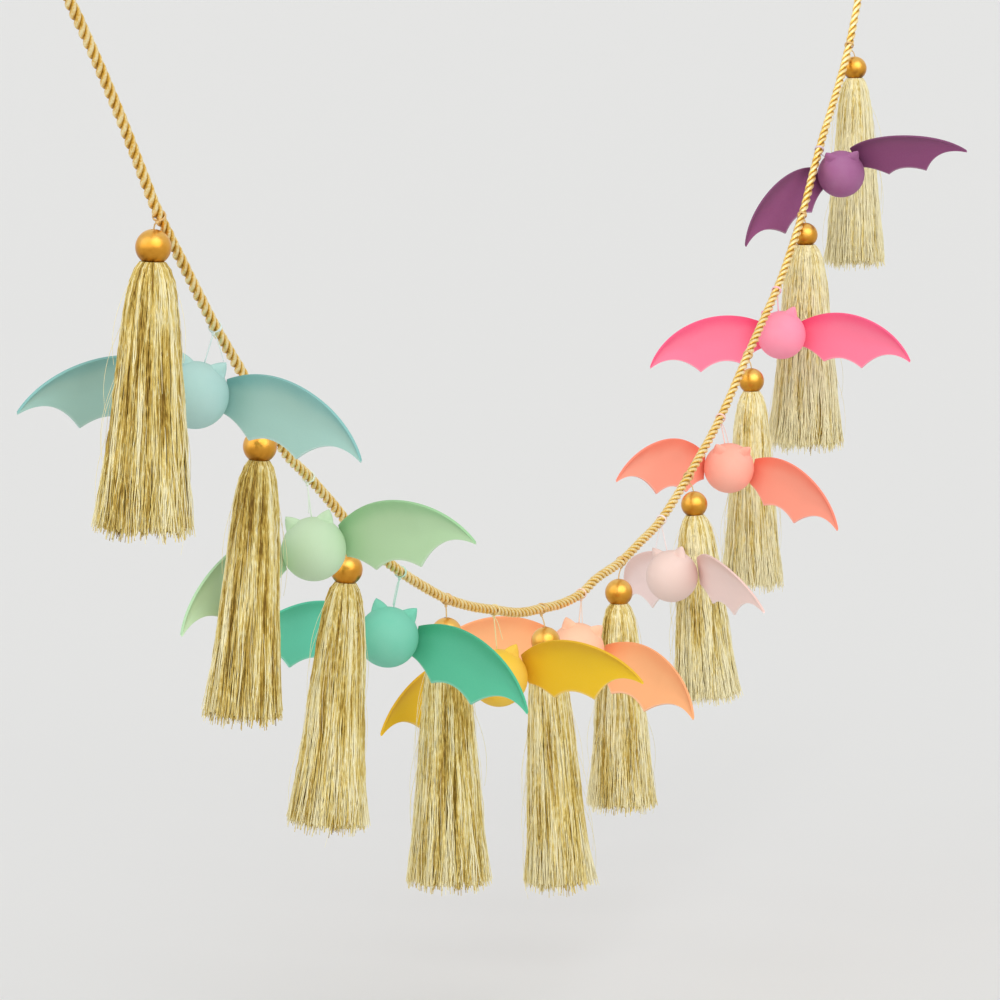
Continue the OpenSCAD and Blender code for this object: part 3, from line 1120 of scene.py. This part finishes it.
def make_bats():
    for number, (name, bat) in enumerate(BATS.items()):
        wing, edge, body, thread = PAPER[name]
        wing_paper = wing_material(name + "_wing_paper", wing, edge)
        left_paper = wing_paper
        if name in PAINTED_LIGHT_LEFT_WINGS:
            left_paper = wing_material(name + "_left_wing_paper", *PAINTED_LIGHT_LEFT_WINGS[name])
        make_wing(name, bat, -1, left_paper)
        make_wing(name, bat, 1, wing_paper)
        make_body(name, bat, body_material(name + "_body_paper", body))
        way = plumb_out(bat[2])
        inside = SEAT_GAP + THREAD_END_DEPTH
        down = [route_point(bat[0]) + (CORD_R + bat[1] + inside) * way]
        hanging = mesh_piece(
            name + "_hanger",
            *hanger(bat[0], down, TAIL_LEANS[number % len(TAIL_LEANS)]),
            thread_material(name + "_thread", thread),
        )
        finished(hanging, "pale_thread", name + "_thread")


# Floor, light and backdrop

FLOOR_DROP = 0.08
FLOOR_REACH = 60
FLOOR_CLOUD = 1.5
FLOOR_ROUGHNESS = 0.9
PALE = (0.84, 0.84, 0.83, 1)
PALE_SHADE = (0.8, 0.8, 0.8, 1)
AMBIENT = 0.5
# Each lamp: how far right, up and towards the viewer it is, its strength, its spread in degrees
LAMPS = {
    "key": (0.6, 0.8, 1.0, 1.45, 60),
    "fill": (-0.7, 0.35, 0.8, 1.25, 90),
}


def make_floor():
    level = cad_box[0].z - FLOOR_DROP
    corners = [
        (x * FLOOR_REACH, y * FLOOR_REACH, level) for x, y in ((-1, -1), (1, -1), (1, 1), (-1, 1))
    ]
    material, nodes, shader, place = new_material("pale_floor")
    cloud = nodes.noise(place, FLOOR_CLOUD, detail=2)
    nodes.put(shader.inputs["Base Color"], nodes.blend(cloud * 0.05, PALE, PALE_SHADE))
    nodes.put(shader.inputs["Roughness"], FLOOR_ROUGHNESS)
    floor = mesh_piece("floor", corners, [(0, 1, 2, 3)], material)


def make_world():
    world = bpy.data.worlds.new("studio")
    world.use_nodes = True
    bpy.context.scene.world = world
    world.node_tree.nodes.clear()
    nodes = Nodes(world.node_tree)
    path = nodes.add("ShaderNodeLightPath", output="Is Camera Ray")
    seen = path.math("MAXIMUM", path, path.output("Is Glossy Ray"))
    seen = seen.math("MAXIMUM", seen, path.output("Is Transmission Ray"))
    backdrop = nodes.add("ShaderNodeBackground", {"Color": PALE, "Strength": 1.0})
    ambient = nodes.add("ShaderNodeBackground", {"Color": (1, 1, 1, 1), "Strength": AMBIENT})
    mixed = nodes.add("ShaderNodeMixShader", {0: seen, 1: ambient, 2: backdrop})
    nodes.add("ShaderNodeOutputWorld", {"Surface": mixed})


def make_lamp(name, right, up, towards, strength, spread):
    """A soft sun whose light comes from a place given as the viewer sees it."""
    turn = math.radians(FACE_TURN)
    side = Vector((math.cos(turn), math.sin(turn), 0))
    ahead = Vector((-math.sin(turn), math.cos(turn), 0))
    place = side * right + Vector((0, 0, up)) - ahead * towards
    data = bpy.data.lights.new(name, "SUN")
    data.energy = strength
    data.angle = math.radians(spread)
    lamp = bpy.data.objects.new(name, data)
    lamp.rotation_euler = place.to_track_quat("Z", "Y").to_euler()
    bpy.context.scene.collection.objects.link(lamp)


def make_light():
    for name, settings in LAMPS.items():
        make_lamp(name, *settings)
    bpy.context.scene.view_settings.view_transform = "Standard"


make_camera()
gold_cord = gold_cord_material()
rope = cord_tree()
make_cord(rope, gold_cord)
make_end_loops(rope, gold_cord)
make_tassels(fibre_material())
make_bats()
make_floor()
make_world()
make_light()
